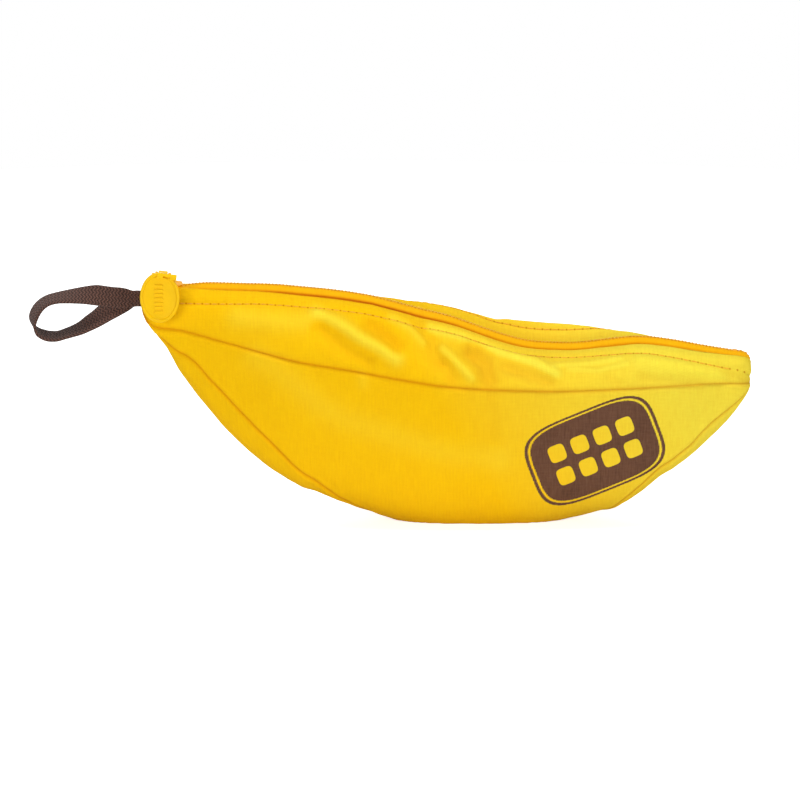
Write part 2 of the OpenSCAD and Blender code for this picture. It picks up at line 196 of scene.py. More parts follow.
BEND_AT, BEND_R = 152.0, 2.5                    # where the zipper turns down at the tip, its radius
MAP_UNIT = 100                                  # millimetres in a unit of the UV maps of cloth

# Height of the keel, height of the side seams and half width, as shares, against the share along
KEEL = [(0, 0.921), (0.0025, 0.898), (0.0083, 0.868), (0.0127, 0.843), (0.036, 0.762), (0.061, 0.641),
        (0.11, 0.472), (0.16, 0.329), (0.209, 0.225), (0.258, 0.143), (0.283, 0.124), (0.307, 0.098),
        (0.33, 0.076), (0.43, -0.004), (0.54, -0.03), (0.66, -0.012), (0.752, 0.039), (0.776, 0.051),
        (0.801, 0.087), (0.826, 0.134), (0.85, 0.188), (0.875, 0.227), (0.9, 0.277), (0.949, 0.399),
        (0.98, 0.49), (1, 0.575)]
SEAM = [(0, 0.925), (0.0025, 0.902), (0.0083, 0.873), (0.0127, 0.856), (0.0237, 0.842), (0.06, 0.832),
        (0.077, 0.824), (0.143, 0.784), (0.258, 0.719), (0.34, 0.69), (0.423, 0.655), (0.505, 0.625),
        (0.587, 0.612), (0.686, 0.605), (0.883, 0.61), (0.953, 0.608), (1, 0.597)]
GIRTH = [(0, 0.28), (0.06, 0.325), (0.14, 0.5), (0.26, 0.78), (0.42, 0.97), (0.52, 1), (0.69, 0.95),
         (0.785, 0.84), (0.883, 0.62), (0.95, 0.42), (1, 0.3)]
# How far the roof's top edges rise above the zipper's straight line, against x, and how far the
# chain stands above them. The back roof has a low hump where the zipper sinks.
WANDER = [(-107, 0), (-94, 0), (-86.6, 0.5), (-73.6, 1.35), (-56, 2.6), (-39, 2.95), (-22, 3.1),
          (-8.5, 2.5), (-4, 1.9), (4.5, 0.6), (13.2, -0.75), (26.7, -2.4), (37.5, -4.85), (48.8, -7.3),
          (59.7, -8.7), (74, -8.0), (81.8, -6.9), (91.3, -4.75), (100, -2.7), (106, -1.5), (113, -0.9),
          (124, -1.0), (135, -1.4), (144, -1.5), (152, -1.2), (157, -1.0)]
CREST = [(-107, 0), (-92, 0.2), (-85, 1.7), (-77, 2.6), (-60, 2.9), (-45, 3.5), (10, 3.6), (40, 3.2),
         (74, 3.0), (120, 2.9), (136, 2.4), (144, 2.1), (150, 1.7), (160, 1.6)]
HUMP = [(-107, 0), (-40, 0), (-22, 1.5), (-8, 3.7), (4.5, 5.5), (13.2, 6.1), (26.2, 5.4), (36, 3.7),
        (45.8, 1.9), (52.3, 2.45), (65, 2.6), (78, 3.1), (91.3, 3.2), (104.4, 2.4), (116, 1.0), (126, 0),
        (157, 0)]


def smooth(stations, at):
    """Cubic curve through the stations, read at an array of places."""
    xs = np.array([s[0] for s in stations], float)
    ys = np.array([s[1] for s in stations], float)
    slopes = np.empty(len(xs))
    slopes[1:-1] = (ys[2:] - ys[:-2]) / (xs[2:] - xs[:-2])
    slopes[0], slopes[-1] = (ys[1] - ys[0]) / (xs[1] - xs[0]), (ys[-1] - ys[-2]) / (xs[-1] - xs[-2])
    at = np.clip(np.asarray(at, float), xs[0], xs[-1])
    i = np.clip(np.searchsorted(xs, at, side="right") - 1, 0, len(xs) - 2)
    h = xs[i + 1] - xs[i]
    t = (at - xs[i]) / h
    return ((2 * t**3 - 3 * t**2 + 1) * ys[i] + (t**3 - 2 * t**2 + t) * h * slopes[i]
            + (3 * t**2 - 2 * t**3) * ys[i + 1] + (t**3 - t**2) * h * slopes[i + 1])


def ridge(distance, at, wide):
    """A smooth ridge: 1 at a distance, and falling off to both sides over its width."""
    return np.exp(-((distance - at) / wide) ** 2)


def share(x):
    """Share of the way from the stem to the tip."""
    return (np.asarray(x, float) - X_STEM) / BODY_L


def straight_zip(x):
    """Height of the zipper's straight line."""
    return BODY_H - ZIP_SLOPE * (np.asarray(x, float) - X_STEM - 10)


def zip_z(x):
    """Height of the zipper as it wanders off that line."""
    return straight_zip(x) + smooth(WANDER, x)


def nose(x):
    """0 at both ends of the case, and 1 once they have rounded off."""
    e = np.clip(np.minimum(x - X_STEM, X_TIP - x), 0, NOSE)
    return np.sqrt(np.clip(1 - (1 - e / NOSE) ** 2, 0, 1))


def drawn_in(x):
    """The tip's cloth is drawn in a little by the zipper's end, which wraps round it."""
    return x - 0.65 * np.clip((np.asarray(x, float) - 143) / 14, 0, 1) ** 2


def half_width(x):
    """Half of the case's depth, at the side seams."""
    end = END_HALF + END_SPREAD
    return end + (HALF_D * smooth(GIRTH, share(x)) - end) * nose(x)


def edge_half(x):
    """Half of the width between the roof's top edges."""
    return END_HALF + (ZIP_EDGE - END_HALF) * nose(x)


def section(x, angle, depth):
    """Points of the shell. angle is 0 on the front side seam, 90 on the keel, 180 on the back
    side seam, and -90 and 270 on the top edges. depth is the way in from the outside."""
    x, angle = np.broadcast_arrays(np.asarray(x, float), np.asarray(angle, float))
    back = angle > 90
    side = np.where(back, 1.0, -1.0)
    b = np.radians(np.where(back, 180 - angle, angle))
    w, seam, keel = half_width(x), BODY_H * smooth(SEAM, share(x)), BODY_H * smooth(KEEL, share(x))
    sin, cos = np.sin(b), np.clip(np.cos(b), 0, 1)
    low_y = (w - depth) * cos**LOWER_ROUND
    low_z = seam - (seam - keel - depth) * np.clip(sin, 0, 1) ** LOWER_ROUND
    low_z = np.maximum(low_z, depth)
    rise = np.clip(-sin, 0, 1)
    wander = smooth(WANDER, x)
    # the back roof does not follow where the zipper sinks
    loose = np.clip((1 - rise) / 0.12, 0, 1)
    follow = np.where(back & (wander < 0), 1 - loose * loose * (3 - 2 * loose), 1.0)
    hump = np.where(back, smooth(HUMP, x) * ridge(rise, HUMP_RISE, HUMP_SPREAD), 0)
    top = straight_zip(x) + wander * follow + TAPE / 2 + 0.05 + CLOTH - TOP_DIP * (1 - nose(x))
    up_y = edge_half(x) + (w - edge_half(x)) * cos**ROOF_ROUND - depth * cos
    up_z = seam + (top - seam) * rise + hump - depth * rise
    lower = b >= 0
    return np.stack([drawn_in(x), side * np.where(lower, low_y, up_y), np.where(lower, low_z, up_z)], -1)


def chain_path(s):
    """The zipper's path: along the roof, then round the tip's corner and down. It gives places
    along and heights, and the direction away from the case as two shares."""
    turn = np.clip((np.asarray(s, float) - BEND_AT) / BEND_R, 0, math.pi / 2)
    past = np.maximum(s - BEND_AT - BEND_R * math.pi / 2, 0)
    on = np.minimum(s, BEND_AT)
    along = drawn_in(on) + BEND_R * np.sin(turn) - 0.25 * past
    height = zip_z(on) - BEND_R * (1 - np.cos(turn)) - past
    return along, height, np.sin(turn), np.cos(turn)


def photo_place(points):
    """Column and row at which points of the front appear in the photograph."""
    v = points[..., 2] * math.cos(ELEVATION) + points[..., 1] * math.sin(ELEVATION)
    return (points[..., 0] - X_STEM) / PIXEL + PIXEL_ORIGIN, GROUND_ROW - (v + GROUND_DROP) / PIXEL


def far_from_line(column, row, line):
    """Distance in pixels to a line of points."""
    best = np.full(column.shape, 1e9)
    for (ax, ay), (bx, by) in zip(line, line[1:]):
        dx, dy = bx - ax, by - ay
        t = np.clip(((column - ax) * dx + (row - ay) * dy) / (dx * dx + dy * dy), 0, 1)
        best = np.minimum(best, np.hypot(column - ax - t * dx, row - ay - t * dy))
    return best


# Folds of the front: how high as a share of FOLD_HEIGHT, how wide in the photograph's pixels, and
# the line of its pixels that each follows
FOLD_HEIGHT = 1.9
FOLDS = [
    (1.3, 7, [(318, 314), (341, 325), (361, 339), (382, 350), (397, 360)]),
    (-1.2, 7, [(371, 325), (384, 334), (396, 345)]),
    (-0.8, 8, [(322, 330), (345, 350), (368, 362)]),
    (0.8, 5, [(392, 319), (410, 328), (424, 343)]),
    (-0.7, 6, [(418, 326), (432, 346), (438, 364)]),
    (1.3, 5.5, [(430, 329), (458, 336), (484, 346), (504, 355), (532, 363), (553, 374)]),
    (-2.0, 9, [(472, 352), (484, 362), (488, 381)]),
    (-1.2, 7, [(504, 366), (524, 373), (548, 383)]),
    (0.9, 5, [(441, 350), (455, 362), (471, 378)]),
    (-0.9, 6, [(444, 364), (452, 380)]),
    (0.6, 2.6, [(553, 366), (588, 364), (618, 359)]),
    (0.5, 2.6, [(566, 370), (596, 371), (624, 364)]),
    (-0.6, 5, [(606, 379), (616, 384)]),
    (0.8, 8, [(640, 361), (670, 366), (716, 375)]),
    (-0.7, 6, [(640, 379), (668, 383), (700, 385)]),
    (-0.8, 5, [(722, 371), (736, 377), (744, 380)]),
    (0.6, 12, [(240, 318), (280, 322), (305, 322)]),
    (0.35, 14, [(258, 358), (280, 370), (303, 390), (318, 404), (347, 420), (397, 437), (447, 453),
                (497, 460)]),
    (-0.35, 7, [(490, 404), (494, 436)]),
    (0.3, 6, [(363, 366), (364, 384)]),
]


def folds(points):
    """Height of the folds at points of the case, in millimetres. The back has none."""
    column, row = photo_place(points)
    height = np.zeros(column.shape)
    for high, wide, line in FOLDS:
        height += FOLD_HEIGHT * high * ridge(far_from_line(column, row, line), 0, wide)
    return np.where(points[..., 1] < 0, height, 0)


def wrinkle(points, scale, seed, stretch=(1, 1, 1)):
    """Smooth noise from -1 to 1 at points, with a grain of scale millimetres."""
    flat = (points * np.array(stretch)).reshape(-1, 3) / scale
    heights = [noise.noise(Vector((p[0] + seed, p[1], p[2]))) for p in flat]
    return np.array(heights).reshape(points.shape[:-1])


def run_across(points):
    """Running distance over each row of a grid of points, from 0."""
    steps = np.linalg.norm(np.diff(points, axis=1), axis=2)
    return np.concatenate([np.zeros((len(points), 1)), np.cumsum(steps, axis=1)], 1)


def new_piece(name, form, material):
    """A finished object at the origin, made from a form."""
    mesh = bpy.data.meshes.new(name)
    form.to_mesh(mesh)
    form.free()
    made = bpy.data.objects.new(name, mesh)
    bpy.context.scene.collection.objects.link(made)
    mesh.materials.append(material)
    for face in mesh.polygons:
        face.use_smooth = True
    return made


def sheet_piece(name, points, maps, marks, material, thick, out=None):
    """A sheet of cloth as a grid whose corners stand at the given points, in millimetres. maps are its
    UV maps and marks its numbers for each corner. out is a direction that its outer face looks in."""
    n, rows = points.shape[0] - 1, points.shape[1] - 1
    form = bmesh.new()
    bmesh.ops.create_grid(form, x_segments=n, y_segments=rows, size=0.5)
    layers = {key: form.verts.layers.float.new(key) for key in marks}
    for vert in form.verts:
        i, j = round((vert.co.x + 0.5) * n), round((vert.co.y + 0.5) * rows)
        vert.index = i * (rows + 1) + j
        vert.co = Vector(points[i, j]) * MM
        for key, layer in layers.items():
            vert[layer] = float(marks[key][i, j])
    for key, (across, up) in maps.items():
        layer = form.loops.layers.uv.new(key)
        flat_across, flat_up = across.ravel(), up.ravel()
        for face in form.faces:
            for loop in face.loops:
                loop[layer].uv = (flat_across[loop.vert.index], flat_up[loop.vert.index])
    for edge in form.edges:
        edge.smooth = not edge.is_boundary
    form.normal_update()
    lean = 0.0
    for face in form.faces:
        centre = face.calc_center_median()
        lean += face.normal.dot(Vector(out) if out else Vector((0, centre.y, centre.z - 0.06)))
    if lean < 0:
        bmesh.ops.reverse_faces(form, faces=form.faces)
    piece = new_piece(name, form, material)
    wall = piece.modifiers.new("cloth_wall", "SOLIDIFY")
    wall.thickness = thick * MM
    wall.offset = -1
    return piece


surfaces = {}                    # the outer surface of each panel, for what is sewn on it
PRINT_AT = (593.5, 450.5)        # the photograph's pixel at the middle of the print
PRINT_TILT = math.radians(22)
FULL_CREST = 2.6                 # millimetres of fold at which the painted highlight and shade of folds are full
NO_SEAM_SHADE = 9.0                      # millimetres from a seam at which no painted seam shade shows


def cloth_panel(name, x_from, x_to, angle_from, angle_to, material, shape, step=1.0,
                thick=CLOTH, depth=0.0, fold=0.0):
    """A sewn panel of the shell, as a grid that follows it, with its cut edges rolled in. fold is
    the radius at which the first edge turns under. The cloth's UV map runs along the body, and
    across from the first edge."""
    n = max(2, round((x_to - x_from) / step))
    xs = np.linspace(x_from, x_to, n + 1)
    start = np.full(xs.shape, float(angle_from))
    end = angle_to(xs) if callable(angle_to) else np.full(xs.shape, float(angle_to))
    angles = start[:, None] + (end - start)[:, None] * np.linspace(0, 1, 121)
    lengths = run_across(section(xs[:, None], angles, 0.0))
    rows = max(4, round(lengths.max() / step))
    across = lengths[:, -1:] * np.linspace(0, 1, rows + 1)
    picked = np.stack([np.interp(across[i], lengths[i], angles[i]) for i in range(n + 1)])
    points = section(xs[:, None], picked, depth)
    normals = np.cross(np.gradient(points, axis=1), np.gradient(points, axis=0))
    normals /= np.maximum(np.linalg.norm(normals, axis=2, keepdims=True), 1e-9)
    outward = points - np.stack([points[..., 0], np.zeros(across.shape), np.full(across.shape, 60.0)], -1)
    if (normals * outward).sum() < 0:
        normals = -normals
    near = np.minimum(across, lengths[:, -1:] - across)
    lift = shape(points, across, near)
    points = points + normals * lift[..., None]
    points[..., 2] = np.maximum(points[..., 2], 0.02 + depth)
    surfaces[name] = (xs, across, points, normals)
    if fold:
        # two rows run back down inside, and five go round to the panel's first edge
        up = points[:, 0] - points[:, 2]
        up /= np.linalg.norm(up, axis=1, keepdims=True)
        out = normals[:, 1]
        points[:, 0] -= up * fold * 0.8
        core = points[:, 0] - out * fold
        turned = [core - out * fold - up * back for back in (3.0, 1.5)]
        for t in np.radians([180, 140, 105, 75, 40]):
            turned.append(core + fold * (out * math.cos(t) + up * math.sin(t)))
        ways = np.array([-5.0, -3.5, -2.0, -1.6, -1.2, -0.8, -0.4])
        points = np.concatenate([np.stack(turned, 1), points], 1)
        across = np.concatenate([np.broadcast_to(ways * fold, (n + 1, len(ways))), across], 1)
        near = np.concatenate([np.full((n + 1, len(ways)), NO_SEAM_SHADE), near], 1)
        near[:, len(ways):len(ways) + 5] = NO_SEAM_SHADE
        rows += len(ways)
    column, row = photo_place(points)
    du, dv = (column - PRINT_AT[0]) / 100, (PRINT_AT[1] - row) / 100
    cos, sin = math.cos(PRINT_TILT), math.sin(PRINT_TILT)
    maps = {"cloth": (np.repeat(xs[:, None], rows + 1, 1) / MAP_UNIT, across / MAP_UNIT),
            "print": (du * cos + dv * sin, dv * cos - du * sin)}
    # marks for painted shade along the seams, and for painted light and shade on the folds
    marks = {"seam_shade": np.exp(-near / 0.6), "crest": np.clip(folds(points) / FULL_CREST, -1, 1)}
    return sheet_piece(name, points, maps, marks, material, thick)


def stretched(tree, place, ways):
    """A place with its three numbers multiplied."""
    return node(tree, "ShaderNodeVectorMath", {0: place, 1: ways}, operation="MULTIPLY").outputs[0]


# Plain weave: threads over and under, slubs along the upright threads, and painted shade at the seams
weave = bpy.data.node_groups.new("canvas_weave", "ShaderNodeTree")
for label, kind in (("Place", "Vector"), ("Pitch", "Float"), ("Seam shade", "Float")):
    weave.interface.new_socket(label, in_out="INPUT", socket_type="NodeSocket" + kind)
for label in ("Shade", "Height", "Roughness"):
    weave.interface.new_socket(label, in_out="OUTPUT", socket_type="NodeSocketFloat")
weave_in = weave.nodes.new("NodeGroupInput").outputs
weave_out = weave.nodes.new("NodeGroupOutput").inputs
calc = partial(math_node, weave)
spot = parts_of(weave, weave_in["Place"])
turns = calc("DIVIDE", 314.159, weave_in["Pitch"])
warp = calc("SINE", calc("MULTIPLY", spot[0], turns))
weft = calc("SINE", calc("MULTIPLY", spot[1], turns))
over = calc("MULTIPLY_ADD", calc("MULTIPLY", warp, weft), 3.0, 0.5, clamp=True)
thread = node(weave, "ShaderNodeMix", {0: over, 2: calc("ABSOLUTE", weft), 3: calc("ABSOLUTE", warp)})
upright = stretched(weave, weave_in["Place"], (150, 14, 1))
slub = node(weave, "ShaderNodeTexNoise", {"Vector": upright, "Scale": 1.0, "Detail": 3.0, "Roughness": 0.6})
cross_slub = speckle(weave, stretched(weave, weave_in["Place"], (18, 120, 1)), 1.0, 2.0)
cloud = speckle(weave, weave_in["Place"], 7.0, 3.0)
streak = calc("MULTIPLY_ADD", calc("SUBTRACT", slub.outputs[0], 0.5), 0.26,
              calc("MULTIPLY", calc("SUBTRACT", cross_slub, 0.5), 0.1))
shade = calc("ADD", calc("MULTIPLY_ADD", thread.outputs[0], 0.14, 0.89), streak)
shade = calc("MULTIPLY_ADD", calc("SUBTRACT", cloud, 0.5), 0.1, shade)
# painted shade: the cloth darkens towards a seam, as in the shade of its groove
shade = calc("MULTIPLY", shade, calc("MULTIPLY_ADD", weave_in["Seam shade"], -0.42, 1.0))
weave.links.new(shade, weave_out["Shade"])
weave.links.new(calc("MULTIPLY_ADD", streak, 2.5, thread.outputs[0]), weave_out["Height"])
weave.links.new(calc("MULTIPLY_ADD", streak, -0.5, 0.86), weave_out["Roughness"])


def shaded(tree, colour, shade, warm=False):
    """A colour, as a socket or a value, times a shade. Yellow dye goes to orange where it is
    shaded, which is warm."""
    made = node(tree, "ShaderNodeMix", {0: 1.0, 6: colour}, data_type="RGBA", blend_type="MULTIPLY")
    red = math_node(tree, "POWER", shade, 0.45) if warm else shade
    blue = math_node(tree, "POWER", shade, 1.5) if warm else shade
    grey = node(tree, "ShaderNodeCombineColor", {0: red, 1: shade, 2: blue})
    tree.links.new(grey.outputs[0], made.inputs[7])
    return made.outputs[2]


def blended(tree, share_of_second, first, second):
    """A colour between two, which are sockets or values."""
    values = {0: share_of_second, 6: first, 7: second}
    return node(tree, "ShaderNodeMix", values, data_type="RGBA").outputs[2]


def relief(tree, shader, height, strength, depth):
    """Fine relief of a surface from a socket of heights. depth is in metres."""
    bump = node(tree, "ShaderNodeBump", {"Height": height, "Strength": strength, "Distance": depth})
    tree.links.new(bump.outputs[0], shader.inputs["Normal"])


# The dye is a warm yellow. Painted light turns it paler towards the tip and upwards, and a painted
# highlight turns the crests of folds paler
WARM_YELLOW, HIGHLIGHT_YELLOW = (0.87, 0.512, 0.002, 1), (0.83, 0.66, 0.047, 1)
TAPE_YELLOW, BROWN_INK = (0.92, 0.5, 0.004, 1), (0.127, 0.06, 0.036, 1)
STITCH = 3.5                     # millimetres from one needle hole to the next
# Sizes of the print, in hundreds of the photograph's pixels
PRINT_HALF = (0.68, 0.42)
SQUARE_PITCH, SQUARE_HALF = 0.24, 0.085
SQUARES_WITHIN = (0.48, 0.24)
RIM_FROM, RIM_TO = 0.71, 0.82    # a bare line runs round between these shares of the outline


def canvas(name, pitch=0.6, printed=False, stitched=None, bump=0.35, deeper=0.0):
    """Dyed canvas. printed adds the brown print of blank squares. stitched is a row of needle holes,
    as its distance in millimetres from the panel's first edge. deeper goes towards orange."""
    material, tree, shader, calc = new_material(name)
    place = node(tree, "ShaderNodeUVMap", uv_map="cloth").outputs[0]
    near = node(tree, "ShaderNodeAttribute", attribute_name="seam_shade").outputs["Fac"]
    cloth = node(tree, "ShaderNodeGroup", node_tree=weave)
    fill(tree, cloth, {"Place": place, "Seam shade": near, "Pitch": pitch})
    shade, height, rough = (cloth.outputs[key] for key in ("Shade", "Height", "Roughness"))
    # painted light: the yellow turns paler towards the tip and upwards
    body = parts_of(tree, node(tree, "ShaderNodeTexCoord").outputs["Object"])
    far = calc("MULTIPLY_ADD", body[2], 0.6, body[0])
    lit_towards_tip = node(tree, "ShaderNodeMapRange", {0: far, 1: 0.055, 2: 0.16})
    # painted light on the folds: a painted highlight turns their crests paler and lighter, and painted
    # shade darkens their hollows
    crest = node(tree, "ShaderNodeAttribute", attribute_name="crest").outputs["Fac"]
    paler = calc("MULTIPLY_ADD", calc("MAXIMUM", crest, 0.0), 0.6, lit_towards_tip.outputs[0], clamp=True)
    dye = blended(tree, paler, WARM_YELLOW, HIGHLIGHT_YELLOW)
    shade = calc("MULTIPLY", shade, calc("MULTIPLY_ADD", crest, 0.14, 1.0))
    if deeper:
        dye = TAPE_YELLOW
        shade = calc("MULTIPLY", shade, 1 - deeper)
    if stitched is not None:
        # painted shade of a round needle hole each stitch length along the row, and of the cloth drawn in
        # about it
        spot = parts_of(tree, place)
        along = calc("PINGPONG", calc("MULTIPLY", spot[0], MAP_UNIT / STITCH), 0.5)
        aside = calc("SUBTRACT", calc("MULTIPLY", spot[1], MAP_UNIT / STITCH), stitched / STITCH)
        far = calc("SQRT", calc("ADD", calc("MULTIPLY", along, along), calc("MULTIPLY", aside, aside)))
        hole = calc("SUBTRACT", 1.0, calc("MULTIPLY", far, 5.2), clamp=True)
        shade = calc("MULTIPLY", shade, calc("MULTIPLY_ADD", hole, -0.8, 1.0))
    colour = shaded(tree, dye, shade, warm=True)
    if printed:
        across, up = parts_of(tree, node(tree, "ShaderNodeUVMap", uv_map="print").outputs[0])[:2]

        def squarish(u, v, half_u, half_v):
            """1 on the outline of a rounded rectangle, and less inside it."""
            a = calc("POWER", calc("ABSOLUTE", calc("DIVIDE", u, half_u)), 4.0)
            b = calc("POWER", calc("ABSOLUTE", calc("DIVIDE", v, half_v)), 4.0)
            return calc("ADD", a, b)

        def from_square(way, squares):
            """Distance from the middle of the nearest blank square, one way."""
            folded = calc("PINGPONG", calc("ADD", way, squares * SQUARE_PITCH), SQUARE_PITCH / 2)
            return calc("SUBTRACT", folded, SQUARE_PITCH / 2)

        ragged = calc("MULTIPLY", calc("SUBTRACT", height, 0.6), 0.06)
        whole = calc("ADD", squarish(across, up, *PRINT_HALF), ragged)
        ink = calc("LESS_THAN", whole, 1.0)
        rim = calc("MULTIPLY", calc("GREATER_THAN", whole, RIM_FROM), calc("LESS_THAN", whole, RIM_TO))
        u, v = from_square(across, 3), from_square(up, 2)
        square = calc("LESS_THAN", squarish(u, v, SQUARE_HALF, SQUARE_HALF), 1.0)
        inner = calc("MULTIPLY", calc("LESS_THAN", calc("ABSOLUTE", across), SQUARES_WITHIN[0]),
                     calc("LESS_THAN", calc("ABSOLUTE", up), SQUARES_WITHIN[1]))
        bare = calc("MAXIMUM", rim, calc("MULTIPLY", square, inner))
        ink = calc("MULTIPLY", ink, calc("SUBTRACT", 1.0, bare))
        brown = shaded(tree, BROWN_INK, calc("MULTIPLY_ADD", shade, 3.6, -2.5))
        colour = blended(tree, ink, colour, brown)
    fill(tree, shader, {"Base Color": colour, "Roughness": rough, "Specular IOR Level": 0.06,
                        "Sheen Weight": 0.01, "Sheen Roughness": 0.5})
    relief(tree, shader, height, bump, 0.00025)
    return material


# ---- Lower walls ---------------------------------------------------------------------------
# Two walls of canvas are sewn together along the keel. Near both ends that seam runs over the
# front, and the back wall comes round to it. Their edges roll in at the seams.
KEEL_SEAM = [(0, 90), (0.015, 80), (0.036, 42), (0.066, 25), (0.085, 23), (0.11, 28), (0.143, 33),
             (0.176, 38), (0.209, 44), (0.256, 54), (0.3, 64), (0.36, 78), (0.42, 88), (0.5, 90), (0.7, 90),
             (0.75, 82), (0.79, 68), (0.83, 59), (0.875, 54.5), (0.9, 50), (0.922, 43), (0.95, 38.5),
             (0.98, 38), (1, 40)]


def keel_seam(x):
    """Angle of the keel's seam round the section."""
    return smooth(KEEL_SEAM, share(x))


def lower_shape(points, across, near):
    """Lift of a lower wall: its rolled seam with a rise beside it, wrinkles and folds."""
    lift = -0.5 * ridge(near, 0, 0.9) + 0.25 * ridge(near, 2.4, 1.4)
    lift = lift + 0.35 * wrinkle(points, 26, 3, (1, 1, 1.6)) + 0.16 * wrinkle(points, 9, 8, (2.2, 1, 0.8))
    lift = lift + 0.3 * np.exp(-near / 7) * wrinkle(points, 6.5, 21)
    return lift + folds(points) * (1 - np.exp(-near / 2.0))


front_canvas = canvas("printed_canvas", printed=True)
wall_canvas = canvas("wall_canvas")
front_wall = cloth_panel("front_wall", X_STEM, X_TIP, 0, keel_seam, front_canvas, lower_shape)
back_wall = cloth_panel("back_wall", X_STEM, X_TIP, 180, keel_seam, wall_canvas, lower_shape, step=1.2)
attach(front_wall, "pouch")
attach(back_wall, "pouch")
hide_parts("front_lower_panel")
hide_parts("back_lower_panel")

# ---- Roof panels ---------------------------------------------------------------------------
# Above the side seams two narrower panels of canvas lean in to the zipper. Their top edges are
# folded under and topstitched. Each is built in two halves.
HEM_ROW = 7.0                    # millimetres from the hem's edge down to its topstitching
HALF_WAY = 25.0


def quarters(x_first, x_last):
    """Front and back, each as a stem half and a tip half, with the run of each along x."""
    for side, way in ((-1, "front"), (1, "back")):
        yield side, way, False, "stem", x_first, HALF_WAY
        yield side, way, True, "tip", HALF_WAY, x_last


def bends_with_lip(piece):
    """Bakes a piece's place into its mesh."""
    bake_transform(piece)


def roof_shape(points, across, near):
    """Lift of a roof panel: its seam, the stitches' furrow with a puckered rise above it, and folds."""
    lift = -0.3 * ridge(near, 0, 0.9) * (across > 4)
    lift = lift - 0.45 * ridge(across, HEM_ROW, 1.0) + 0.25 * ridge(across, HEM_ROW - 3, 1.6)
    lift = lift + 0.16 * ridge(across, HEM_ROW, 4) * wrinkle(points, 4.2, 31, (1, 0.4, 0.4))
    lift = lift + 0.3 * wrinkle(points, 22, 5, (1, 1, 1.6)) + 0.15 * wrinkle(points, 8, 11)
    sewn = ridge(across, HEM_ROW, 2.2)
    return lift + folds(points) * (1 - np.exp(-near / 3.0)) * (1 - 0.85 * sewn)


roof_canvas = canvas("roof_canvas", stitched=HEM_ROW)
for side, way, right, half, x_from, x_to in quarters(X_STEM, X_TIP):
    edges = (-90, 0) if side < 0 else (270, 180)
    panel = cloth_panel(f"{way}_roof_{half}", x_from, x_to, *edges, roof_canvas, roof_shape,
                        thick=0.6, fold=0.7)
    bends_with_lip(panel)
    nodes = [f"{way}_upper_panel"]
    if side < 0:
        nodes.append("tip_end_cap" if right else "stem_end_cap")
    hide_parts(*nodes)

# ---- Topstitching --------------------------------------------------------------------------
# Lockstitches of strong yellow thread run along both hems, 3.5 mm each. Each stands up as a
# plump grain that dips into its two needle holes.
STITCH_HALF = (1.42, 0.26, 0.24)     # half length, half width and half height of a stitch


def on_panel(name, x, down):
    """The place on a roof panel at x and a distance down from its hem, and the way out from it."""
    xs, across, points, normals = surfaces[name]
    i = min(max(int(np.searchsorted(xs, x)) - 1, 0), len(xs) - 2)
    t = (x - xs[i]) / (xs[i + 1] - xs[i])

    def read(data, k):
        return np.array([np.interp(down, across[k], data[k, :, axis]) for axis in range(3)])

    return [Vector(read(data, i) * (1 - t) + read(data, i + 1) * t) for data in (points, normals)]


def placed(point):
    """A place at a point in millimetres."""
    return Matrix.Translation(Vector(point) * MM)


def scaled(place, size):
    """A place with its three ways stretched to a size in millimetres."""
    return place @ Matrix.Diagonal((size[0] * MM, size[1] * MM, size[2] * MM, 1))


thread_yellow, tree, shader, calc = new_material("thread_yellow")
place = node(tree, "ShaderNodeTexCoord").outputs["Object"]
ply = node(tree, "ShaderNodeTexWave", {"Vector": place, "Scale": 900.0, "Distortion": 0.6},
           bands_direction="DIAGONAL")
twisted = calc("MULTIPLY_ADD", ply.outputs["Fac"], 0.3, 0.68)
fill(tree, shader, {"Base Color": shaded(tree, (0.86, 0.46, 0.008, 1), twisted, warm=True),
                    "Roughness": 0.6})
for side, way, right, half, x_from, x_to in quarters(X_STEM + 15, X_TIP - 9):
    form = bmesh.new()
    roof = f"{way}_roof_{half}"
    # the stitch that crosses the middle goes with the stem half
    for k in range(math.ceil(x_from / STITCH), math.floor(x_to / STITCH) + (0 if right else 1)):
        here, out = on_panel(roof, (k + 0.5) * STITCH, HEM_ROW)
        first, last = (on_panel(roof, hole * STITCH, HEM_ROW)[0] for hole in (k, k + 1))
        run = (last - first).normalized()
        out = (out - run * out.dot(run)).normalized()
        turn = Matrix((run, out.cross(run), out)).transposed().to_4x4()
        lying = placed(here + out * 0.06) @ turn
        bmesh.ops.create_uvsphere(form, u_segments=8, v_segments=6, radius=1,
                                  matrix=scaled(lying, STITCH_HALF))
    stitches = new_piece(f"{way}_topstitch_{half}", form, thread_yellow)
    bends_with_lip(stitches)

# ---- Seam bindings and end fold --------------------------------------------------------------
# Inside, narrow strips of the same canvas cover the raw edges at the keel and both side seams.
# At the tip the two walls are folded over and sewn through, which leaves a short upright fold.
def over_seam(points, across, near):
    """A binding strip lies lower along its middle, over the seam."""
    return -0.3 * ridge(across, across[:, -1:] / 2, 2.0)


binding_canvas = canvas("binding_canvas", pitch=0.5)
for name, edges, covered in (("keel_strip", (81, 99), "keel_binding"),
                             ("front_seam_strip", (0.4, 9), "front_seam_binding"),
                             ("back_seam_strip", (179.6, 171), "back_seam_binding")):
    strip = cloth_panel(name, X_STEM + 17, X_TIP - 11.5, *edges, binding_canvas, over_seam, step=2.0,
                        thick=0.5, depth=CLOTH + 0.35)
    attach(strip, "pouch")
    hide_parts(covered)

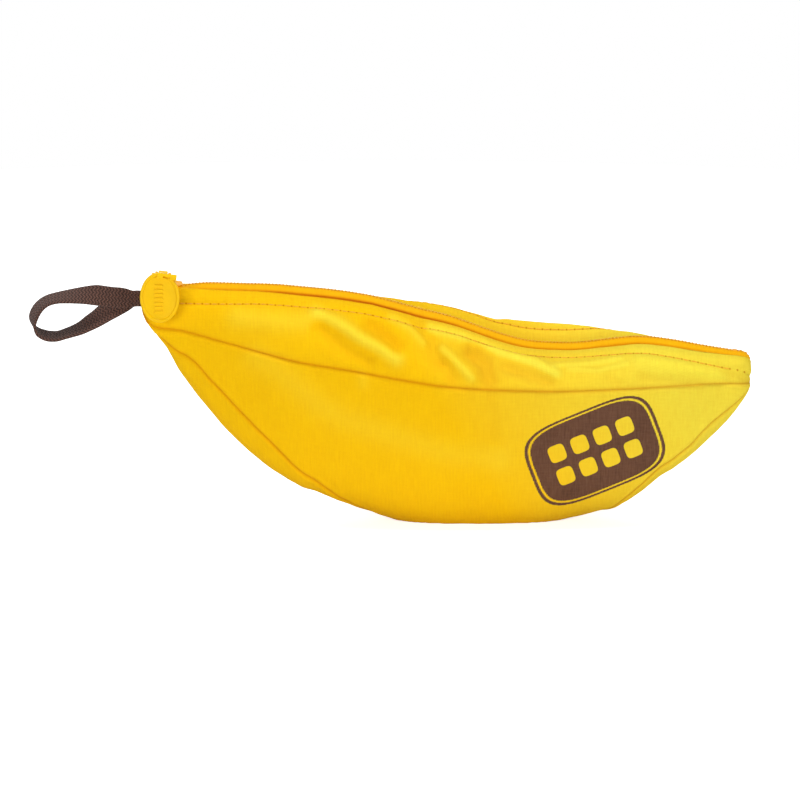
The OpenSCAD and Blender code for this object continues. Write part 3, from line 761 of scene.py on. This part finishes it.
FOLD_FROM, FOLD_TO, FOLD_HALF = X_TIP - 5, X_TIP - 1.1, 1.9      # its run, and half its thickness
FOLD_FOOT, FOLD_TOP = BODY_H * 0.6 + 0.6, BODY_H * 0.665
bow = np.linspace(0, math.pi, 9)
heights = np.linspace(FOLD_FOOT, FOLD_TOP, max(3, round(FOLD_TOP - FOLD_FOOT)) + 1)
outline = np.stack([FOLD_FROM + np.sin(bow) * (FOLD_TO - FOLD_FROM),
                    -np.cos(bow) * FOLD_HALF, np.zeros(len(bow))], -1)
waver = np.stack([0.12 * np.sin(heights * 1.9), 0.1 * np.cos(heights * 1.3), heights], -1)
points = outline[None] + waver[:, None]
along = np.repeat(heights[:, None], len(bow), 1)
around = np.repeat((bow * FOLD_HALF)[None], len(heights), 0)
# painted shade at the fold's foot, where it meets the walls
tip_fold = sheet_piece("tip_fold", points, {"cloth": (along / MAP_UNIT, around / MAP_UNIT)},
                       {"seam_shade": np.exp(-np.abs(along - FOLD_FOOT) / 1.2)},
                       binding_canvas, 0.6, out=(1, 0, 0))
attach(tip_fold, "pouch")
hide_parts("end_seams")

# ---- Zipper tape -----------------------------------------------------------------------------
# Two woven tapes carry the coil on a ridge. They round over beside it as a smooth band and then
# run down under the hems, where the topstitching holds them.
zip_tape = canvas("zip_tape_weave", pitch=0.42, bump=0.25, deeper=0.1)
# places across the band: how far out, its share of the crest and what lies on top of that
BAND = [(0.9, 1.0, 0.3), (1.5, 0.99, 0.3), (2.1, 0.93, 0.25), (2.8, 0.79, 0.2), (3.5, 0.58, 0.15),
        (4.1, 0.32, 0.1), (4.6, 0.05, 0.0), (4.9, -0.1, -0.3)]
UNDER_HEM = (-82, -76, -70, -62)     # angles round the section of the part below the hem
CORNER = 149.5                       # from here on it hangs free, round the tip's corner
for side, way, right, half, start, end in quarters(X_STEM + 8.5, X_TIP + 1.8):
    at = np.linspace(start, end, round((end - start) / 0.75) + 1)
    xs, zs, out_x, out_z = chain_path(at)
    rows = []
    for y, crest_share, above in BAND:
        high = smooth(CREST, at) * crest_share + above
        rows.append(np.stack([xs + out_x * high, np.full(xs.shape, side * y), zs + out_z * high], -1))
    for k, angle in enumerate(UNDER_HEM):
        under = section(at, angle if side < 0 else 180 - angle, CLOTH + 1.2)
        low = 0.6 + 0.4 * k
        beside = np.full(xs.shape, side * (4.7 - 0.7 * k))
        folded = np.stack([xs - out_x * low, beside, zs - out_z * low], -1)
        rows.append(np.where((at > CORNER)[:, None], folded, under))
    points = np.stack(rows, 1)
    across = run_across(points)
    along = np.repeat(at[:, None], len(rows), 1)
    # painted shade along the coil's edge and in the groove under the hem
    groove_shade = 0.8 * np.exp(-np.abs(across - 0.4) / 0.3) + 1.9 * np.exp(-np.abs(across - 4.4) / 0.45)
    tape = sheet_piece(f"{way}_tape_{half}", points, {"cloth": (along / MAP_UNIT, across / MAP_UNIT)},
                       {"seam_shade": groove_shade}, zip_tape, 0.4, out=(0, 0, 1))
    bends_with_lip(tape)
    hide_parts(f"{way}_zip_tape", "tip_zip_end" if right else "stem_zip_end")

# ---- Zipper coil -----------------------------------------------------------------------------
# A fine moulded coil is sewn on each tape. Each turn is a rounded bar across half of the chain,
# and its head stands between two heads of the other side.
TOOTH_PITCH = 1.5
coil_yellow, tree, shader, calc = new_material("coil_yellow")
place = node(tree, "ShaderNodeTexCoord").outputs["Object"]
wear = speckle(tree, place, 260.0, 3.0)
fill(tree, shader, {
    "Base Color": shaded(tree, (0.86, 0.44, 0.006, 1), calc("MULTIPLY_ADD", wear, 0.3, 0.8), warm=True),
    "Roughness": calc("MULTIPLY_ADD", wear, 0.3, 0.3), "Specular IOR Level": 0.25})
# along one turn of coil, from its root on the tape to its head: place across, half height, half width
TURN = [(1.75, 0.1, 0.26), (1.6, 0.5, 0.33), (1.2, 0.72, 0.36), (0.7, 0.76, 0.34), (0.2, 0.74, 0.33),
        (-0.2, 0.68, 0.38), (-0.45, 0.36, 0.24)]
SIDES = 8
AROUND = [(math.cos(a) * (1 if k % 2 else 1.04), math.sin(a))
          for k, a in enumerate(np.radians(np.arange(0, 360, 360 / SIDES)))]


def coil_turn(form, at, side):
    """One turn of the coil, at a place along the zipper's path."""
    grid = bmesh.ops.create_grid(form, x_segments=len(TURN) - 1, y_segments=SIDES, size=0.5)["verts"]
    ends = []
    for place in (at - 0.5, at + 0.5):
        x, z, out_x, out_z = (float(v) for v in chain_path(place))
        high = float(smooth(CREST, place))
        ends.append(Vector((x + out_x * high, 0, z + out_z * high)))
    middle, run = (ends[0] + ends[1]) / 2, ends[1] - ends[0]
    away = Vector((-run.z, 0, run.x)).normalized()
    for vert in grid:
        i, j = round((vert.co.x + 0.5) * (len(TURN) - 1)), round((vert.co.y + 0.5) * SIDES) % SIDES
        y, high, wide = TURN[i]
        aside = Vector((0, side * y, 0))
        vert.co = (middle + run * AROUND[j][0] * wide + away * AROUND[j][1] * high + aside) * MM
    bmesh.ops.remove_doubles(form, verts=grid, dist=1e-6)


for side, way, right, half, start, end in quarters(X_STEM + 8.9, X_TIP + 1):
    form = bmesh.new()
    at = start + (0.45 if side < 0 else 0.45 + TOOTH_PITCH / 2)
    while at < end - 0.2:
        coil_turn(form, at, side)
        at += TOOTH_PITCH
    bmesh.ops.holes_fill(form, edges=[e for e in form.edges if e.is_boundary], sides=SIDES)
    bmesh.ops.recalc_face_normals(form, faces=form.faces)
    coil = new_piece(f"{way}_coil_{half}", form, coil_yellow)
    bends_with_lip(coil)
    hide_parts(f"{way}_zip_teeth")

# ---- Slider and stops ------------------------------------------------------------------------
# The slider, its bail and the stops are die-cast and enamelled yellow, with small paler chips. The
# bottom stop clamps both coils where the zipper begins to turn down.
STOP_AT = 149.6
enamel, tree, shader, calc = new_material("slider_enamel")
place = node(tree, "ShaderNodeTexCoord").outputs["Object"]
grain = speckle(tree, place, 420.0, 4.0)
chips = speckle(tree, place, 1500.0, 2.0)
worn = node(tree, "ShaderNodeMapRange", {0: chips, 1: 0.66, 2: 0.7})
coat = shaded(tree, (0.88, 0.4, 0.003, 1), calc("MULTIPLY_ADD", grain, 0.16, 0.9))
rubbed = blended(tree, calc("MULTIPLY", worn.outputs[0], 0.5), coat, (0.9, 0.58, 0.06, 1))
fill(tree, shader, {"Base Color": rubbed, "Roughness": calc("MULTIPLY_ADD", grain, 0.25, 0.4),
                    "Specular IOR Level": 0.08})
relief(tree, shader, grain, 0.12, 0.0001)


def recoat(name, material):
    """Gives a solid of the model its material."""
    solid = frame["nodes"][name].data
    solid.materials.clear()
    solid.materials.append(material)


def soften(piece, radius):
    """Rounds a piece's sharp edges, by a radius in millimetres."""
    rounded = piece.modifiers.new("soft_edges", "BEVEL")
    rounded.width = radius * MM
    rounded.segments = 3
    rounded.limit_method = "ANGLE"
    rounded.angle_limit = math.radians(35)


for name in ("slider_body", "slider_bail", "zip_top_stops"):
    recoat(name, enamel)
form = bmesh.new()
stop_x, stop_z = (float(v) for v in chain_path(STOP_AT)[:2])
stop_place = placed((stop_x, 0, stop_z + 1.3)) @ Matrix.Rotation(0.12, 4, "Y")
bmesh.ops.create_cube(form, size=1, matrix=scaled(stop_place, (2, 4.2, 1.9)))
stop = new_piece("bottom_stop", form, enamel)
soften(stop, 0.4)
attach(stop, "pouch")
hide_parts("zip_bottom_stop")

# ---- Pull tab --------------------------------------------------------------------------------
# An oval tab of soft plastic hangs beside the slider from a lug that goes round the bail's bar.
# It has a raised rim, and small ribs for the fingertips in place of words.
TAB_AT, TAB_HALF, TAB_T = Vector((-98.5, -12.6, 100.7)), (8.5, 10.9), 2.0
RIBS, RIB_PITCH, RIB_SIZE = 7, 1.9, (3.6, 0.8, 0.8)
BAR = Vector(next(joint["pos_m"] for joint in frame["joints"] if joint["name"] == "pull_tab_lift")) / MM
soft_plastic, tree, shader, calc = new_material("tab_plastic")
place = node(tree, "ShaderNodeTexCoord").outputs["Object"]
skin = speckle(tree, place, 900.0, 4.0)
smudge = speckle(tree, place, 140.0, 2.0)
fill(tree, shader, {
    "Base Color": shaded(tree, (0.88, 0.53, 0.002, 1), calc("MULTIPLY_ADD", smudge, 0.14, 0.93)),
    "Roughness": calc("MULTIPLY_ADD", smudge, 0.25, 0.3), "Specular IOR Level": 0.14})
relief(tree, shader, skin, 0.1, 0.0001)

form = bmesh.new()
standing = placed(TAB_AT + Vector((0, TAB_T / 2, 0))) @ Matrix.Rotation(math.pi / 2, 4, "X")
bmesh.ops.create_circle(form, cap_ends=True, segments=72, radius=1, matrix=scaled(standing, (*TAB_HALF, 1)))
raised = bmesh.ops.extrude_face_region(form, geom=list(form.faces))["geom"]
raised = [part for part in raised if isinstance(part, bmesh.types.BMVert)]
bmesh.ops.translate(form, verts=raised, vec=(0, -TAB_T * MM, 0))
bmesh.ops.recalc_face_normals(form, faces=form.faces)
for way_out in (-1, 1):
    face = max(form.faces, key=lambda f: (f.normal.y * way_out, f.calc_area()))
    for inset, rise in ((0.45, 0.3), (0.6, 0), (0.5, -0.75)):
        bmesh.ops.inset_individual(form, faces=[face], thickness=inset * MM, depth=rise * MM)
for k in range(RIBS):
    up = (k - (RIBS - 1) // 2) * RIB_PITCH - 0.4
    rib = placed(TAB_AT + Vector((-0.4, -TAB_T / 2 + 0.35, up)))
    bmesh.ops.create_cube(form, size=1, matrix=scaled(rib, RIB_SIZE))
tab = new_piece("oval_tab", form, soft_plastic)
soften(tab, 0.22)
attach(tab, "pull")
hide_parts("pull_tab")

# the lug, from behind the rim up and back to the bar: its plate, its neck and its front bar
LUG_BLOCKS = [((0.4, -8.2, 0), (9.6, 8.4, 1.8)), ((0, -3.4, 0), (3.7, 4.4, 1.8)),
              ((2.1, -13.2, 0), (8.4, 2.7, 2.4))]
EYE_R, EYE_L = 2.08, 3.8
form = bmesh.new()
climb = math.atan2(2.2, 12.6)
reach = placed(BAR) @ Matrix.Rotation(math.radians(6.66), 4, "Y") @ Matrix.Rotation(-climb, 4, "X")
for middle, size in LUG_BLOCKS:
    made = bmesh.ops.create_cube(form, size=1, matrix=scaled(reach @ placed(middle), size))["verts"]
# the slot in the lug's front bar
face = min({f for v in made for f in v.link_faces}, key=lambda f: f.calc_center_median().y)
bmesh.ops.inset_individual(form, faces=[face], thickness=0.5 * MM, depth=0)
centre = face.calc_center_median()
for vert in face.verts:
    vert.co.x = centre.x - 0.1 * MM + (vert.co.x - centre.x) * 0.38
    vert.co.z = centre.z - 0.35 * MM + (vert.co.z - centre.z) * 0.5
form.normal_update()
bmesh.ops.inset_individual(form, faces=[face], thickness=0.05 * MM, depth=-2.0 * MM)
# the eye round the bar
bmesh.ops.create_cone(form, cap_ends=True, segments=32, radius1=EYE_R * MM, radius2=EYE_R * MM,
                      depth=EYE_L * MM, matrix=reach @ Matrix.Rotation(math.pi / 2, 4, "Y"))
lug = new_piece("tab_lug", form, soft_plastic)
soften(lug, 0.3)
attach(lug, "pull")

# ---- Webbing loop ----------------------------------------------------------------------------
# A loop of brown herringbone webbing stands out from the stem. It leaves the seam on edge, and
# twists as it turns back. Its two ends are caught between the walls, and the seam pinches it.
WEB_W, WEB_T = 9.0, 1.3              # width and thickness of the webbing
LOOP_REACH = 51.0
WEB_PIVOT, WEB_Z = X_STEM - 2, BODY_H - 5.2
TAIL_ROWS = 12                       # rows of the mesh in each sewn-in end
# shares of the reach along and up, and the turn of the webbing's width from upright, in degrees
LOOP_LINE = [(0, 0, 0), (0.07, 0, 0), (0.139, 0.009, 0), (0.208, 0.014, 0), (0.276, 0.022, 4),
             (0.343, 0.03, 18), (0.412, 0.03, 38), (0.48, 0.026, 50), (0.547, 0.02, 58), (0.616, 0.013, 65),
             (0.684, 0.003, 70), (0.753, -0.017, 70), (0.812, -0.055, 67), (0.857, -0.11, 64),
             (0.883, -0.175, 66), (0.877, -0.238, 80), (0.843, -0.287, 96), (0.802, -0.311, 103),
             (0.753, -0.326, 106), (0.684, -0.327, 106), (0.616, -0.307, 107), (0.547, -0.283, 111),
             (0.48, -0.256, 118), (0.412, -0.216, 128), (0.343, -0.175, 137), (0.276, -0.128, 149),
             (0.208, -0.085, 162), (0.139, -0.046, 176), (0.07, -0.012, 180), (0, 0, 180)]
webbing_brown, tree, shader, calc = new_material("webbing_brown")
spot = parts_of(tree, node(tree, "ShaderNodeUVMap", uv_map="cloth").outputs[0])
# ribs lean one way and then the other across the width
zigzag = calc("PINGPONG", spot[1], 0.011)
leaning = calc("ADD", spot[0], calc("MULTIPLY", zigzag, 0.9))
ribs = calc("SINE", calc("MULTIPLY", leaning, 430.0))
edge_of = calc("SINE", calc("MULTIPLY", zigzag, 285.0))
place = node(tree, "ShaderNodeTexCoord").outputs["Object"]
fuzz = speckle(tree, place, 1400.0, 3.0)
rise = calc("ADD", calc("MULTIPLY", ribs, 0.5), calc("MULTIPLY", fuzz, 0.8))
tone = calc("MULTIPLY_ADD", rise, 0.85, 0.42)
tone = calc("MULTIPLY", tone, calc("MULTIPLY_ADD", edge_of, 0.12, 0.9))
fill(tree, shader, {"Base Color": shaded(tree, (0.123, 0.06, 0.046, 1), tone), "Roughness": 0.9,
                    "Specular IOR Level": 0.2, "Sheen Weight": 0.15})
relief(tree, shader, rise, 0.9, 0.0003)
# the strap's section: half width and half thickness shares, walked round once
ACROSS = (-0.9, -0.6, -0.3, 0, 0.3, 0.6, 0.9)
STRAP = [(c, 1) for c in ACROSS] + [(0.98, 0.6), (1, 0), (0.98, -0.6)]
STRAP += [(-c, -1) for c in ACROSS] + [(-0.98, -0.6), (-1, 0), (-0.98, 0.6)]


def strap(name, centres, wides, thicks, lengths):
    """Webbing along a row of centres, with the ways of its width and thickness at each."""
    form = bmesh.new()
    n, k = len(centres) - 1, len(STRAP)
    bmesh.ops.create_grid(form, x_segments=n, y_segments=k, size=0.5)
    ways = {}
    for vert in form.verts:
        i, j = round((vert.co.x + 0.5) * n), round((vert.co.y + 0.5) * k)
        w, t = STRAP[j % k]
        plump = 1 - 0.12 * abs(w)
        vert.co = Vector(centres[i] + wides[i] * w * WEB_W / 2 + thicks[i] * t * plump * WEB_T / 2) * MM
        vert.index = i * (k + 1) + j
        ways[vert.index] = (lengths[i] / MAP_UNIT, (w + 1) * WEB_W / 2 / MAP_UNIT)
    layer = form.loops.layers.uv.new("cloth")
    for face in form.faces:
        for loop in face.loops:
            loop[layer].uv = ways[loop.vert.index]
    bmesh.ops.remove_doubles(form, verts=form.verts, dist=1e-7)
    bmesh.ops.holes_fill(form, edges=[e for e in form.edges if e.is_boundary], sides=0)
    bmesh.ops.recalc_face_normals(form, faces=form.faces)
    return new_piece(name, form, webbing_brown)


knots = np.linspace(0, 1, len(LOOP_LINE))
along_at, up_at, twist_at = (list(zip(knots, column)) for column in zip(*LOOP_LINE))
u = np.linspace(0, 1, 181)
from_end = np.minimum(u, 1 - u)
# near the stem one strand lies behind the other, and further out both are in the middle plane
outer = np.clip((from_end - 0.17) / 0.12, 0, 1)
beside = 1 - outer * outer * (3 - 2 * outer)
centre = np.stack([WEB_PIVOT - LOOP_REACH * smooth(along_at, u),
                   np.where(u < 0.5, -1, 1) * (WEB_T / 2 + 0.04) * beside,
                   WEB_Z + LOOP_REACH * smooth(up_at, u)], -1)
inward = np.linspace(9, 0.5, TAIL_ROWS)[:, None] * np.array([1, 0, -0.04])
centre = np.concatenate([centre[:1] + inward, centre, centre[-1:] + inward[::-1]])
run = np.gradient(centre, axis=0) * np.array([1, 0, 1])
run /= np.linalg.norm(run, axis=1, keepdims=True)
normal = np.stack([run[:, 2], np.zeros(len(run)), -run[:, 0]], -1)
still = np.zeros(TAIL_ROWS)
twist = np.radians(np.concatenate([still, smooth(twist_at, u), still + 180]))[:, None]
# the seam pinches the webbing's width
pinch = (1 - 0.24 * ridge(np.concatenate([still, from_end, still]), 0, 0.035))[:, None]
wide = (normal * np.cos(twist) + np.array([0, 1.0, 0]) * np.sin(twist)) * pinch
loop = strap("webbing_strap", centre, wide, np.cross(run, wide) / pinch, run_across(centre[None])[0])
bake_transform(loop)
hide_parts("webbing_loop", "webbing_tail")

# ---- Letter tiles ----------------------------------------------------------------------------
# Square tiles of ivory plastic with rounded corners fill the case in nine loose columns. They
# are moulded, with a faint mottle, and they are left blank.
ivory, tree, shader, calc = new_material("tile_ivory")
place = node(tree, "ShaderNodeTexCoord").outputs["Object"]
mottle = speckle(tree, place, 90.0, 3.0)
fill(tree, shader, {
    "Base Color": shaded(tree, (0.86, 0.79, 0.6, 1), calc("MULTIPLY_ADD", mottle, 0.16, 0.92)),
    "Roughness": calc("MULTIPLY_ADD", mottle, 0.2, 0.22), "Subsurface Weight": 0.08})
for k in range(1, 10):
    recoat(f"letter_tiles_{k}", ivory)
